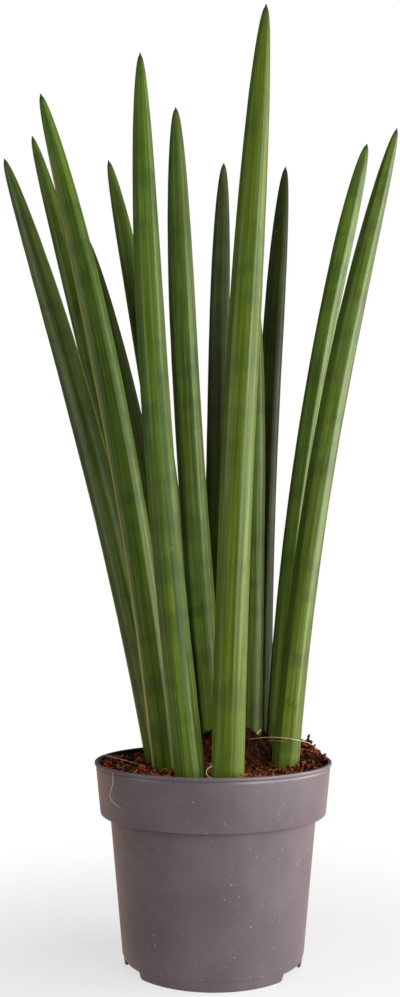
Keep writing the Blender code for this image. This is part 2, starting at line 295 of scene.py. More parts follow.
@dataclass(frozen=True)
class WaxyCuticle:
    """Skin of a succulent leaf: a tough green cuticle under a thin grey waxy bloom.

    The skin grew in long cells, so its streaks run lengthwise. The waxy bloom makes it satin, not glossy,
    and its grey tone is also painted along every ridge as a painted highlight.
    """

    tone: LeafTone
    streak_mm: float = 1.5
    stripe_mm: float = 2.9
    band_mm: float = 17.0
    tick_mm: float = 1.7
    roughness: float = 0.46

    def build(self, name: str) -> bpy.types.Material:
        """Makes the material from the leaf's own ``grain``, ``growth`` and ``edges`` attributes.

        Args:
            name: Name of the material.

        Returns:
            The finished material.
        """
        skin = Recipe(name)
        grain = skin.add("Attribute", "Vector", {}, attribute_name="grain")
        growth = skin.add("Attribute", "Vector", {}, attribute_name="growth")
        height = skin.add("SeparateXYZ", "X", {"Vector": growth})
        from_tip = skin.add("SeparateXYZ", "Y", {"Vector": growth})
        ridge = skin.add("SeparateXYZ", "Z", {"Vector": growth})
        edges = skin.add("Attribute", "Vector", {}, attribute_name="edges")
        margin = skin.add("SeparateXYZ", "X", {"Vector": edges})
        pale_edge = skin.add("SeparateXYZ", "Y", {"Vector": edges})
        groove = skin.add("SeparateXYZ", "Z", {"Vector": edges})

        # Lengthwise streaks are noise that is drawn out along the leaf
        drawn = skin.add("Mapping", "Vector", {"Vector": grain, "Scale": (1.0, 1.0, 0.015)})
        fine = skin.add(
            "TexNoise", "Fac", {"Vector": drawn, "Scale": per_metre(self.streak_mm), "Detail": 1.0}
        )
        wide = skin.add("Mapping", "Vector", {"Vector": grain, "Scale": (1.0, 1.0, 0.02)})
        broad = skin.add(
            "TexNoise", "Fac", {"Vector": wide, "Scale": per_metre(self.stripe_mm), "Detail": 1.0}
        )

        # Cross bands are noise that is wide across the leaf and shifted up and down streak by streak
        jag = skin.add("Math", "Value", {"Value": fine, "Value_001": 0.016}, operation="MULTIPLY")
        shift = skin.add("CombineXYZ", "Vector", {"Z": jag})
        jagged = skin.add("VectorMath", "Vector", {"Vector": grain, "Vector_001": shift}, operation="ADD")
        squat = skin.add("Mapping", "Vector", {"Vector": jagged, "Scale": (0.35, 0.35, 1.0)})
        bands = skin.add(
            "TexNoise", "Fac", {"Vector": squat, "Scale": per_metre(self.band_mm), "Detail": 2.5}
        )
        flat = skin.add("Mapping", "Vector", {"Vector": grain, "Scale": (0.25, 0.25, 1.0)})
        ticks = skin.add(
            "TexNoise", "Fac", {"Vector": flat, "Scale": per_metre(self.tick_mm), "Detail": 1.0}
        )

        blotch = skin.add("Mapping", "Vector", {"Vector": grain, "Scale": (1.0, 1.0, 0.25)})
        cloud = skin.add("TexNoise", "Fac", {"Vector": blotch, "Scale": per_metre(9.0), "Detail": 3.0})

        green = skin.blend(skin.mask(height, 0.22, 0.0), self.tone.blade, self.tone.young)
        green = skin.blend(skin.mask(broad, 0.45, 0.57, 0.50), green, self.tone.stripe)
        green = skin.blend(skin.mask(fine, 0.55, 0.43, 0.50), green, self.tone.stripe)
        green = skin.blend(skin.mask(bands, 0.50, 0.63, self.tone.banding), green, self.tone.stripe)
        green = skin.blend(skin.mask(ticks, 0.50, 0.60, 0.12), green, self.tone.stripe)
        waxed = skin.add("Math", "Value", {"Value": broad, "Value_001": cloud}, operation="MULTIPLY")
        green = skin.blend(skin.mask(waxed, 0.30, 0.16, self.tone.veil_and_ridge_sheen), green, self.tone.wax_and_ridge_sheen)
        # Every ridge is painted paler in the bloom's grey: a painted highlight along the ridges
        green = skin.blend(skin.mask(ridge, 0.80, 1.0, self.tone.veil_and_ridge_sheen), green, self.tone.wax_and_ridge_sheen)
        # The channel and the furrow are painted darker in the stripe green: painted shade in these creases
        green = skin.blend(skin.mask(groove, 0.0, 1.0, 0.7), green, self.tone.stripe)
        green = skin.blend(pale_edge, green, "a3a862")
        green = skin.blend(margin, green, self.tone.margin)

        # Small pale scars where the skin was nicked
        nick = {"Vector": jagged, "Scale": per_metre(19.0), "Randomness": 1.0}
        near = skin.add("TexVoronoi", "Distance", nick)
        scar = skin.mask(near, 0.045, 0.025, 0.45)
        green = skin.blend(scar, green, "a9a57c")

        # The point of the leaf dies back to a dark brown spine
        dry = skin.add("Math", "Value", {"Value": fine, "Value_001": 0.006}, operation="MULTIPLY")
        spine = skin.add("Math", "Value", {"Value": from_tip, "Value_001": dry}, operation="SUBTRACT")
        green = skin.blend(skin.mask(spine, 0.006, 0.0, 0.9), green, "2e241c")

        rough = {"Value": broad, "From Min": 0.35, "From Max": 0.65}
        rough |= {"To Min": self.roughness - 0.06, "To Max": self.roughness + 0.10}
        height_map = skin.add("Math", "Value", {"Value": fine, "Value_001": broad}, operation="ADD")
        bump = skin.add("Bump", "Normal", {"Height": height_map, "Strength": 0.3, "Distance": 0.3 * MM})
        skin.feed(
            skin.shader,
            {
                "Base Color": green,
                "Roughness": skin.add("MapRange", "Result", rough),
                "Normal": bump,
                "IOR": 1.40,
                "Specular IOR Level": self.tone.shine,
            },
        )
        return skin.material


@dataclass(frozen=True)
class MouldedPolypropylene:
    """Injection-moulded polypropylene, coloured mauve grey right through.

    The tool was fine-textured, so the plastic has a dull satin shine. Handling left pale nicks and short
    hairline scuffs.
    """

    colour: str = "665e66"
    deep: str = "5c545d"
    scuff: str = "a89ea0"

    def build(self, name: str) -> bpy.types.Material:
        """Makes the material on object coordinates."""
        plastic = Recipe(name)
        place = plastic.add("TexCoord", "Object", {})
        cloud = plastic.add("TexNoise", "Fac", {"Vector": place, "Scale": per_metre(38.0), "Detail": 3.0})
        tall = plastic.add("Mapping", "Vector", {"Vector": place, "Scale": (1.0, 1.0, 0.06)})
        flow = plastic.add("TexNoise", "Fac", {"Vector": tall, "Scale": per_metre(7.0), "Detail": 2.0})
        colour = plastic.blend(plastic.mask(cloud, 0.35, 0.65), self.colour, self.deep)
        colour = plastic.blend(plastic.mask(flow, 0.45, 0.7, 0.25), colour, self.deep)

        # Pale nicks are the near points of a few random cells, gathered in patches
        patch = plastic.add("TexNoise", "Fac", {"Vector": place, "Scale": per_metre(24.0), "Detail": 1.0})
        for spacing, low, high in ((2.6, 0.52, 0.60), (5.5, 0.40, 0.60)):
            cells = {"Vector": place, "Scale": per_metre(spacing), "Randomness": 1.0}
            near = plastic.add("TexVoronoi", "Distance", cells)
            there = plastic.mask(patch, low, high, 0.75)
            nick = plastic.mask(near, 0.13, 0.07)
            share = plastic.add(
                "Math", "Value", {"Value": nick, "Value_001": there}, operation="MULTIPLY"
            )
            colour = plastic.blend(share, colour, self.scuff)

        # Hairline scuffs are level lines of a noise, kept in patches
        wander = plastic.add(
            "TexNoise", "Fac", {"Vector": place, "Scale": per_metre(16.0), "Detail": 2.0}
        )
        away = plastic.add("Math", "Value", {"Value": wander, "Value_001": 0.5}, operation="SUBTRACT")
        away = plastic.add("Math", "Value", {"Value": away}, operation="ABSOLUTE")
        zone = plastic.add(
            "TexNoise",
            "Fac",
            {"Vector": place, "Scale": per_metre(19.0), "W": 3.0, "Detail": 0.0},
            noise_dimensions="4D",
        )
        line = {
            "Value": plastic.mask(away, 0.006, 0.001),
            "Value_001": plastic.mask(zone, 0.66, 0.74, 0.3),
        }
        colour = plastic.blend(
            plastic.add("Math", "Value", line, operation="MULTIPLY"), colour, self.scuff
        )

        rough = {"Value": cloud, "From Min": 0.3, "From Max": 0.7, "To Min": 0.34, "To Max": 0.44}
        skin = plastic.add("TexNoise", "Fac", {"Vector": place, "Scale": per_metre(0.9), "Detail": 2.0})
        plastic.feed(
            plastic.shader,
            {
                "Base Color": colour,
                "Roughness": plastic.add("MapRange", "Result", rough),
                "IOR": 1.49,
                "Normal": plastic.add(
                    "Bump", "Normal", {"Height": skin, "Strength": 0.12, "Distance": 0.1 * MM}
                ),
            },
        )
        return plastic.material


@dataclass(frozen=True)
class CoirAndPeat:
    """Potting mix of shredded coconut husk and peat: matt, dark when wet, rust brown where it dried."""

    dark: str
    middle: str
    light: str
    roughness: float = 0.92

    def build(self, name: str) -> bpy.types.Material:
        """Makes the material from a ``tone`` attribute and object coordinates."""
        peat = Recipe(name)
        place = peat.add("TexCoord", "Object", {})
        tone = peat.add("Attribute", "Fac", {}, attribute_name="tone")
        grit = peat.add("TexNoise", "Fac", {"Vector": place, "Scale": per_metre(1.6), "Detail": 4.0})
        mixed = peat.add("Math", "Value", {"Value": grit, "Value_001": 0.45, "Value_002": tone},
                         operation="MULTIPLY_ADD")
        stops = ((0.25, self.dark), (0.75, self.middle), (1.25 / 1.45, self.light))
        colour = peat.add("ValToRGB", "Color", {"Fac": mixed}, stops)
        peat.feed(
            peat.shader,
            {
                "Base Color": colour,
                "Roughness": self.roughness,
                "Specular IOR Level": 0.12,
                "Normal": peat.add(
                    "Bump", "Normal", {"Height": grit, "Strength": 0.6, "Distance": 0.6 * MM}
                ),
            },
        )
        return peat.material


@dataclass
class NurseryPot:
    """The pot: a thin turned shell with a rolled lip, a deep collar and a foot ring with drain notches."""

    height: float = 145.0 * MM
    wall: float = 1.2 * MM
    rim_radius: float = 85.0 * MM
    lip_depth: float = 2.2 * MM
    lip_stand: float = 1.3 * MM
    collar_top_radius: float = 84.0 * MM
    collar_low_radius: float = 80.9 * MM
    collar_low: float = 109.0 * MM
    collar_round: float = 0.9 * MM
    shoulder: float = 107.2 * MM
    body_top_radius: float = 73.9 * MM
    body_low_radius: float = 65.2 * MM
    foot_height: float = 8.0 * MM
    foot_step: float = 0.5 * MM
    foot_radius: float = 63.0 * MM
    floor: float = 1.5 * MM
    disc_radius: float = 44.0 * MM
    channel_height: float = 5.6 * MM
    notch_angles: tuple[float, ...] = (-155.5, -29.5, 90.0)
    notch_arc: float = 27.0
    notch_height: float = 5.0 * MM
    notch_side: float = 3.2
    drain_holes: int = 9
    drain_radius: float = 3.6 * MM
    drain_circle: float = 53.0 * MM
    steps: int = 216
    corner_steps: int = 5

    def inside(self) -> list[tuple[float, float, float]]:
        """Corners of the inside from the floor up, as radius, height and rounding."""
        top = self.channel_height + self.floor
        return [
            (self.body_low_radius - self.wall - 1.6 * MM, top, 0.6 * MM),
            (self.body_low_radius - self.wall + 0.1 * MM, top + 1.8 * MM, 0.6 * MM),
            (self.body_top_radius - self.wall, self.shoulder + 1.6 * MM, 0.8 * MM),
            (self.collar_low_radius - self.collar_round - 0.7 * MM, self.collar_low, 0.8 * MM),
            (self.collar_low_radius - self.wall, self.collar_low + 2.0 * MM, 0.8 * MM),
            (self.collar_top_radius - self.wall, self.height - 3.0 * MM, 0.4 * MM),
            (self.rim_radius - self.lip_stand - self.wall, self.height - 0.6 * MM, 0.2 * MM),
            (self.rim_radius - self.lip_stand - 0.8 * self.wall, self.height, 0.15 * MM),
        ]

    def outside(self) -> list[tuple[float, float, float]]:
        """Corners of the outside from the rim down, as radius, height and rounding."""
        lip_low = self.height - self.lip_depth
        return [
            (self.rim_radius - 0.4 * MM, self.height, 0.35 * MM),
            (self.rim_radius, self.height - 0.5 * MM, 0.3 * MM),
            (self.rim_radius, lip_low, 0.3 * MM),
            (self.rim_radius - self.lip_stand, lip_low - 0.5 * MM, 0.25 * MM),
            (self.collar_top_radius, lip_low - 2.0 * MM, 0.6 * MM),
            (self.collar_low_radius, self.collar_low - 0.6 * MM, 0.5 * MM),
            (
                self.collar_low_radius - self.collar_round,
                self.collar_low - 1.3 * self.collar_round,
                0.4 * MM,
            ),
            (self.body_top_radius + 0.8 * MM, self.shoulder + 0.6 * MM, 0.3 * MM),
            (self.body_top_radius, self.shoulder - 0.6 * MM, 0.4 * MM),
            (self.body_low_radius, self.foot_height + 0.2 * MM, 0.4 * MM),
            (self.body_low_radius - self.foot_step, self.foot_height - 0.4 * MM, 0.3 * MM),
            (self.foot_radius + 0.6 * MM, 0.8 * MM, 0.6 * MM),
            (self.foot_radius - 0.2 * MM, 0.0, 0.3 * MM),
        ]

    def underside(self) -> list[tuple[float, float, float]]:
        """Corners of the foot ring's inner side, the drain channel and the standing disc."""
        ring_inside = self.foot_radius - 0.4 * MM - self.wall
        return [
            (ring_inside, 0.0, 0.25 * MM),
            (ring_inside + 0.4 * MM, self.channel_height, 0.3 * MM),
            (self.disc_radius + 2.0 * MM, self.channel_height, 0.6 * MM),
            (self.disc_radius + 0.8 * MM, 0.0, 0.4 * MM),
        ]

    def floor_corners(self) -> list[tuple[float, float, float]]:
        """Corners of the floor seen from inside, from the middle out."""
        return [
            (self.disc_radius - 0.4 * MM, self.floor, 0.5 * MM),
            (self.disc_radius + 0.8 * MM, self.channel_height + self.floor, 0.5 * MM),
        ]

    def profile(self) -> np.ndarray:
        """The outline with rounded corners.

        Each corner is a quadratic curve. It leaves the outline at the corner's rounding, or at most
        0.45 of the way to the next corner, and is drawn towards the corner itself.

        Returns:
            Points of radius and height, from the floor's middle out, up, over the rim and under.
        """
        rows = self.floor_corners() + self.inside() + self.outside() + self.underside()
        corners = np.array([(0.0, self.floor, 0.0), *rows, (0.0, 0.0, 0.0)])
        here, rounding = corners[1:-1, :2], corners[1:-1, 2:]
        before, after = corners[:-2, :2] - here, corners[2:, :2] - here
        reach_back = np.minimum(rounding / np.linalg.norm(before, axis=1, keepdims=True), 0.45)
        reach_on = np.minimum(rounding / np.linalg.norm(after, axis=1, keepdims=True), 0.45)
        share = np.linspace(0.0, 1.0, self.corner_steps)[None, :, None]
        start, end = (here + before * reach_back)[:, None], (here + after * reach_on)[:, None]
        curve = start * (1 - share) ** 2 + 2 * here[:, None] * share * (1 - share) + end * share**2
        return curve.reshape(-1, 2)

    def angles(self) -> np.ndarray:
        """Angles of the turned rings: even steps, and more of them at each side of a notch."""
        even = np.linspace(-math.pi, math.pi, self.steps, endpoint=False)
        sides = [angle + side * self.notch_arc / 2 for angle in self.notch_angles for side in (-1, 1)]
        extra = np.array(sides)[:, None] + np.linspace(-self.notch_side, self.notch_side, 9)
        wrapped = np.remainder(np.radians(extra.ravel()) + math.pi, 2 * math.pi) - math.pi
        return np.unique(np.round(np.concatenate([even, wrapped]), 6))

    def notch_rise(self, angles: np.ndarray) -> np.ndarray:
        """Height of the foot ring's lower edge: 0, and the notch height across each notch."""
        away = np.degrees(angles)[:, None] - np.array(self.notch_angles)
        off = np.remainder(away + 180.0, 360.0) - 180.0
        inset = (self.notch_arc / 2 + self.notch_side / 2 - np.abs(off)) / self.notch_side
        return self.notch_height * smooth_step(inset).max(axis=1)

    def shell(self) -> tuple[np.ndarray, list[np.ndarray]]:
        """The turned shell: the outline carried round Z, with the ring's low points lifted in a notch."""
        outline = self.profile()
        angles = self.angles()
        radius, height = outline[:, :1], np.repeat(outline[:, 1:], len(angles), axis=1)
        ring = (radius > self.foot_radius - 2.5 * MM) & (height < self.notch_height)
        height = np.where(ring, np.maximum(height, self.notch_rise(angles)[None]), height)
        points = np.stack([radius * np.cos(angles), radius * np.sin(angles), height], axis=-1)
        rows, columns = height.shape
        poles = np.array([[0.0, 0.0, self.floor], [0.0, 0.0, 0.0]])
        points = np.concatenate([points.reshape(-1, 3), poles])
        first, last = np.arange(columns), np.arange(columns) + (rows - 1) * columns
        count = rows * columns
        quads = grid_quads(rows, columns, closed=True)[:, ::-1]
        return points, [quads, fan(first, count, True), fan(last, count + 1, False)]

    def drains(self) -> tuple[np.ndarray, list[np.ndarray]]:
        """Upright cylinders, one for each drain hole in the channel floor."""
        around = np.linspace(0.0, 2 * math.pi, 28, endpoint=False)
        middles = 2 * math.pi * (np.arange(self.drain_holes) + 0.5) / self.drain_holes
        lift = self.channel_height + self.floor / 2 + np.array([-2.0, 2.0]) * self.floor
        x = self.drain_circle * np.cos(middles)[:, None] + self.drain_radius * np.cos(around)
        y = self.drain_circle * np.sin(middles)[:, None] + self.drain_radius * np.sin(around)
        level = np.broadcast_to(lift[None, :, None], (self.drain_holes, 2, len(around)))
        points = np.stack(np.broadcast_arrays(x[:, None], y[:, None], level), axis=-1)
        columns = len(around)
        start = np.arange(self.drain_holes)[:, None, None] * 2 * columns
        sides = (start + grid_quads(2, columns, closed=True)[None]).reshape(-1, 4)
        caps = start[:, 0] + np.arange(columns)
        return points.reshape(-1, 3), [sides, caps[:, ::-1], caps + columns]

    def build(self) -> bpy.types.Object:
        """Makes the pot and cuts its drain holes."""
        plastic = MouldedPolypropylene().build("moulded_polypropylene")
        crease = math.radians(38)
        pot = add_piece("pot_shell", *self.shell(), plastic, crease)
        cutter = add_piece("drain_cutter", *self.drains(), plastic, crease)
        modifier = pot.modifiers.new("Drains", "BOOLEAN")
        modifier.operation = "DIFFERENCE"
        modifier.solver = "EXACT"
        modifier.object = cutter
        graph = bpy.context.evaluated_depsgraph_get()
        pot.data = bpy.data.meshes.new_from_object(pot.evaluated_get(graph))
        pot.modifiers.clear()
        bpy.data.objects.remove(cutter, do_unlink=True)
        dress(pot, "pot_plastic", "pot")
        return pot


@dataclass(frozen=True)
class Mound:
    """A heap of soil in millimetres: its middle, its reach in X and Y, its height and its steepness."""

    middle: tuple[float, float]
    reach: tuple[float, float]
    height: float
    sharpness: float = 2.0


@dataclass(frozen=True)
class Heap:
    """Crumbs strewn between two places: how far they stray and sink, their number, half size and tone."""

    start: tuple[float, float, float]
    end: tuple[float, float, float]
    stray: float
    sink: float
    count: int
    size: float = 1.0
    tone: float = 0.5


@dataclass(frozen=True)
class LooseFibre:
    """One long fibre through given places, in millimetres, with its radius and its tone."""

    places: tuple[tuple[float, float, float], ...]
    radius: float
    tone: float


@dataclass
class SoilBed:
    """The potting soil: a body that fills the pot, with loose crumbs, chips and fibres on its surface.

    Heaps of crumbs lie where the soil rises against the rim, and a few long fibres are laid along given paths.
    ``shaded_middle`` is the middle of the root ball, where the soil is painted darker as shade under the
    leaves: its X, its Y and its reach in millimetres.
    """

    level: float = 138.5 * MM
    edge_radius: float = 81.8 * MM
    wall_radius: float = 82.35 * MM
    edge_band: float = 6.0 * MM
    round_lumps: tuple[float, float, float] = (0.9, 0.31, 0.27)
    slanted_lumps: tuple[float, float, float] = (0.7, 0.55, 0.48)
    mounds: tuple[Mound, ...] = (
        Mound(middle=(13, 36), reach=(34, 34), height=32, sharpness=3.0),
        Mound(middle=(70, 24), reach=(14, 24), height=16.5),
        Mound(middle=(-70, 12), reach=(12, 15), height=5),
        Mound(middle=(-40, 46), reach=(20, 20), height=4),
    )
    heaps: tuple[Heap, ...] = (
        Heap((64, 25, 153), (75, 14, 152), stray=3.0, sink=5, count=90, size=1.1),
        Heap((75, 14, 152), (81.5, 2, 145.5), stray=1.6, sink=4, count=60, size=1.1, tone=0.65),
        Heap((70.8, 20, 153), (71.4, 20, 159.6), stray=0.5, sink=0, count=16, size=0.9, tone=0.3),
        Heap((-78, 18, 143.5), (-76, -10, 141.5), stray=2.2, sink=3, count=60, size=0.9, tone=0.7),
        Heap((-68, -43, 142.0), (-34, -70, 143.6), stray=1.3, sink=2, count=60, size=0.8, tone=0.65),
        Heap((18, -75, 143.6), (62, -45, 143.0), stray=1.3, sink=2, count=70, size=0.9, tone=0.6),
        Heap((-50.8, -15, 141.3), (-50.4, -15, 141.6), stray=0.6, sink=0, count=5, size=1.7, tone=1.0),
        Heap((17.5, -70, 144.6), (19.0, -70, 144.8), stray=0.3, sink=0, count=4, size=1.0, tone=1.3),
    )
    loose: tuple[LooseFibre, ...] = (
        LooseFibre(((-80, 10, 146.6), (-70, 7, 144.8), (-60, 3, 142.6), (-52, 0, 141)), 0.22, 0.95),
        LooseFibre(
            (
                (25, -2, 159.6),
                (35.2, -12, 162.2),
                (46.9, -18, 163.1),
                (58.2, -18, 161.4),
                (69, -9, 157.8),
                (73.4, 1, 154),
            ),
            0.19,
            1.0,
        ),
        LooseFibre(
            (
                (-66.5, -50, 145.4),
                (-68.1, -52.3, 144.6),
                (-67.3, -53, 137),
                (-70.6, -49, 128),
                (-69.1, -51, 124.5),
                (-62.6, -57.5, 120.9),
            ),
            0.17,
            1.1,
        ),
        LooseFibre(
            (
                (-0.2, -60, 149.8),
                (-4.6, -62, 147.6),
                (-5.6, -65, 145.6),
                (-3.4, -70, 143),
                (-1.4, -70, 143),
            ),
            0.2,
            1.2,
        ),
        LooseFibre(((41, 6, 158), (47, -6, 158.8), (51, -12, 159.3)), 0.15, 0.9),
        LooseFibre(((32.4, 16, 161), (34.2, 17, 163.2), (35.8, 18, 164.2)), 0.55, 1.1),
    )
    # Middle and reach of the painted shade on the soil under the leaves
    shaded_middle: tuple[float, float, float] = (16, 26, 34)
    cells: int = 216
    crumbs: int = 2600
    chips: int = 260
    fibres: int = 1000
    seed: int = 41

    def height(self, x: np.ndarray, y: np.ndarray) -> np.ndarray:
        """Height of the plain surface: the level, each heap, and gentle lumps, flat at the wall."""
        across, along = x / MM, y / MM
        raised = np.zeros_like(across)
        for mound in self.mounds:
            off_x = (across - mound.middle[0]) / mound.reach[0]
            off_y = (along - mound.middle[1]) / mound.reach[1]
            away = np.hypot(off_x, off_y)
            raised = raised + mound.height * np.exp(-(away**mound.sharpness))
        rise, by_x, by_y = self.round_lumps
        raised = raised + rise * np.sin(across * by_x) * np.cos(along * by_y)
        rise, by_x, by_y = self.slanted_lumps
        raised = raised + rise * np.sin(across * by_x + along * by_y)
        inset = self.edge_radius - np.hypot(x, y)
        return self.level + raised * MM * smooth_step(inset / self.edge_band)

    def crumbled(self, x: np.ndarray, y: np.ndarray) -> np.ndarray:
        """Height with crumb relief: four sizes of noise, the larger ones folded so that they clot."""
        clot = 1.6 * np.abs(value_noise(x, y, 6.5 * MM, 3)) + 1.1 * np.abs(value_noise(x, y, 3.1 * MM, 5))
        grit = 0.55 * value_noise(x, y, 1.6 * MM, 7) + 0.35 * value_noise(x, y, 0.9 * MM, 9)
        return self.height(x, y) + (clot + grit - 1.0) * MM

    def disc(self) -> tuple[np.ndarray, np.ndarray]:
        """A square grid drawn onto a disc, ring by ring, so that its cells stay nearly even."""
        side = np.linspace(-1.0, 1.0, self.cells + 1)
        a, b = np.meshgrid(side, side, indexing="ij")
        wide = np.abs(a) > np.abs(b)
        ring = np.where(wide, a, b)
        safe = np.where(ring == 0.0, 1.0, ring)
        turn = np.where(wide, math.pi / 4 * b / safe, math.pi / 2 - math.pi / 4 * a / safe)
        return ring * np.cos(turn) * self.wall_radius, ring * np.sin(turn) * self.wall_radius

    def body(self, pot: NurseryPot) -> bpy.types.Object:
        """The soil's body: the crumbled surface, and sides that follow the pot down to its floor."""
        x, y = self.disc()
        z = self.crumbled(x, y)
        size = self.cells + 1
        index = np.arange(size * size).reshape(size, size)
        corners = [index[:-1, :-1], index[1:, :-1], index[1:, 1:], index[:-1, 1:]]
        quads = np.stack(corners, axis=-1).reshape(-1, 4)
        edge = np.concatenate([index[0, :-1], index[:-1, -1], index[-1, :0:-1], index[:0:-1, 0]])
        turn = np.arctan2(y.ravel()[edge], x.ravel()[edge])
        inside = [(radius - 0.3 * MM, top + 0.3 * MM) for radius, top, _ in pot.inside()[:5]]
        floor = [(radius - 0.3 * MM, top + 0.3 * MM) for radius, top, _ in pot.floor_corners()]
        outline = np.array([*reversed(inside), *reversed(floor)])
        side = np.stack(
            [
                outline[:, :1] * np.cos(turn),
                outline[:, :1] * np.sin(turn),
                np.repeat(outline[:, 1:], len(turn), axis=1),
            ],
            axis=-1,
        )
        points = np.concatenate([np.stack([x, y, z], axis=-1).reshape(-1, 3), side.reshape(-1, 3)])
        points = np.concatenate([points, [[0.0, 0.0, outline[-1, 1]]]])
        rings = [edge] + [
            size * size + np.arange(len(edge)) + row * len(edge) for row in range(len(outline))
        ]
        bands = [
            np.stack([upper, np.roll(upper, -1), np.roll(lower, -1), lower], axis=-1)
            for upper, lower in zip(rings, rings[1:])
        ]
        finish = CoirAndPeat(dark="120806", middle="38190f", light="5e2c1a").build("damp_coir_and_peat_with_painted_shade")
        faces = [quads, *bands, fan(rings[-1], len(points) - 1, True)]
        soil = add_piece("soil_body", points, faces, finish)
        # Where the crumbled surface sits below the plain one it is painted darker, and lighter where it stands
        # above: painted shade in the hollows and painted light on the bumps
        low = self.height(x, y) - z
        tone = 0.32 - 0.10 * low.ravel() / MM + 0.18 * value_noise(x, y, 11 * MM, 13).ravel()
        # The soil under the leaves is painted darker: painted shade
        tone = tone - 0.22 * self.shade_among_leaves(x, y).ravel()
        set_attribute(soil, "tone", np.concatenate([tone, np.full(len(points) - size * size, 0.3)]))
        dress(soil, "soil", "soil")
        return soil

    def shade_among_leaves(self, x: np.ndarray, y: np.ndarray) -> np.ndarray:
        """How much painted shade darkens the soil under the leaves: 1 in the middle of the root ball, 0 far
        off.
        """
        middle_x, middle_y, reach = self.shaded_middle
        return np.exp(-(((x / MM - middle_x) / reach) ** 2) - ((y / MM - middle_y) / reach) ** 2)

    def places(self, count: int, rng: np.random.Generator, reach: float = 1.0) -> np.ndarray:
        """Random places on the surface, even by area.

        Args:
            count: Number of places.
            rng: Seeded source of numbers.
            reach: Share of the bed's radius that is used.

        Returns:
            Points on the crumbled surface.
        """
        radius = (self.edge_radius - 0.6 * MM) * reach * np.sqrt(rng.uniform(0, 1, count))
        turn = rng.uniform(-math.pi, math.pi, count)
        x, y = radius * np.cos(turn), radius * np.sin(turn)
        return np.stack([x, y, self.crumbled(x, y)], axis=-1)

    @staticmethod
    def turns(count: int, rng: np.random.Generator) -> np.ndarray:
        """Random rotation matrices, from even random unit quaternions."""
        w, x, y, z = unit(rng.normal(size=(count, 4))).T
        rows = [
            [1 - 2 * (y * y + z * z), 2 * (x * y - z * w), 2 * (x * z + y * w)],
            [2 * (x * y + z * w), 1 - 2 * (x * x + z * z), 2 * (y * z - x * w)],
            [2 * (x * z - y * w), 2 * (y * z + x * w), 1 - 2 * (x * x + y * y)],
        ]
        return np.moveaxis(np.array(rows), -1, 0)

    def lumps(
        self, name: str, middles: np.ndarray, sizes: np.ndarray, tones: np.ndarray, rng: np.random.Generator
    ) -> bpy.types.Object:
        """Irregular crumbs: small balls of three rings and two poles, squeezed, dented and turned.

        Args:
            name: Name of the piece that holds them all.
            middles: Middle of each crumb.
            sizes: Half sizes of each crumb along its own three axes.
            tones: Tone of each crumb from 0, dark, to 1, light.
            rng: Seeded source of numbers.

        Returns:
            One piece with every crumb in it.
        """
        columns = 6
        polar = np.radians([50.0, 90.0, 130.0])[:, None]
        around = np.linspace(0.0, 2 * math.pi, columns, endpoint=False)
        ball = np.stack(
            [
                np.sin(polar) * np.cos(around),
                np.sin(polar) * np.sin(around),
                -np.cos(polar) + 0 * around,
            ],
            axis=-1,
        )
        ball = np.concatenate([ball.reshape(-1, 3), [[0.0, 0.0, -1.0], [0.0, 0.0, 1.0]]])
        count, corners = len(middles), len(ball)
        dents = rng.uniform(0.66, 1.22, (count, corners, 1))
        shaped = ball[None] * dents * sizes[:, None]
        points = np.einsum("nij,nkj->nki", self.turns(count, rng), shaped) + middles[:, None]
        first, last = np.arange(columns), np.arange(columns) + 2 * columns
        start = (np.arange(count) * corners)[:, None, None]
        faces = [
            grid_quads(3, columns, closed=True),
            fan(first, 3 * columns, False),
            fan(last, 3 * columns + 1, True),
        ]
        faces = [(start + array[None]).reshape(-1, array.shape[1]) for array in faces]
        finish = CoirAndPeat(dark="200d07", middle="5e2717", light="9c4d2c").build(f"{name}_coir")
        piece = add_piece(name, points, faces, finish, crease=0.0)
        set_attribute(piece, "tone", np.repeat(tones, corners))
        dress(piece, "soil")
        return piece

    def scatter(self) -> None:
        """Strews crumbs, flat chips of husk and short fibres over the surface."""
        rng = np.random.default_rng(self.seed)
        middles = self.places(self.crumbs, rng)
        sizes = 0.55 * MM * np.exp(rng.normal(0.35, 0.45, (self.crumbs, 1)))
        sizes = sizes * rng.uniform(0.6, 1.3, (self.crumbs, 3))
        middles[:, 2] += sizes.min(axis=1) * 0.3
        # Crumbs under the leaves are painted darker: painted shade
        tones = rng.beta(1.6, 2.4, self.crumbs) * (1 - 0.75 * self.shade_among_leaves(middles[:, 0], middles[:, 1]))
        self.lumps("soil_crumbs", middles, np.minimum(sizes, 2.6 * MM), tones, rng)

        middles = self.places(self.chips, rng, 0.97)
        shape = np.array([2.6, 1.2, 0.45]) * MM
        sizes = shape * rng.uniform(0.6, 1.5, (self.chips, 3))
        middles[:, 2] += 0.7 * MM
        # Chips under the leaves are painted darker: painted shade
        tones = rng.uniform(0.45, 1.0, self.chips) * (1 - 0.7 * self.shade_among_leaves(middles[:, 0], middles[:, 1]))
        self.lumps("husk_chips", middles, sizes, tones, rng)

        start = self.places(self.fibres, rng, 0.95)
        heading = rng.uniform(-math.pi, math.pi, self.fibres)
        length = rng.uniform(4.0, 15.0, self.fibres) * MM
        bend = rng.normal(0.0, 0.9, self.fibres)
        share = np.linspace(-0.5, 0.5, 8)
        turn = heading[:, None] + bend[:, None] * share
        x = start[:, :1] + length[:, None] * share * np.cos(turn)
        y = start[:, 1:2] + length[:, None] * share * np.sin(turn)
        inside = np.minimum(1.0, (self.edge_radius - 0.8 * MM) / np.hypot(x, y))
        x, y = x * inside, y * inside
        lift = rng.uniform(0.1, 1.6, self.fibres)[:, None] * MM * (1 - (2 * share) ** 2)
        paths = np.stack([x, y, self.crumbled(x, y) + 0.25 * MM + lift], axis=-1)
        radii = rng.uniform(0.09, 0.24, self.fibres) * MM
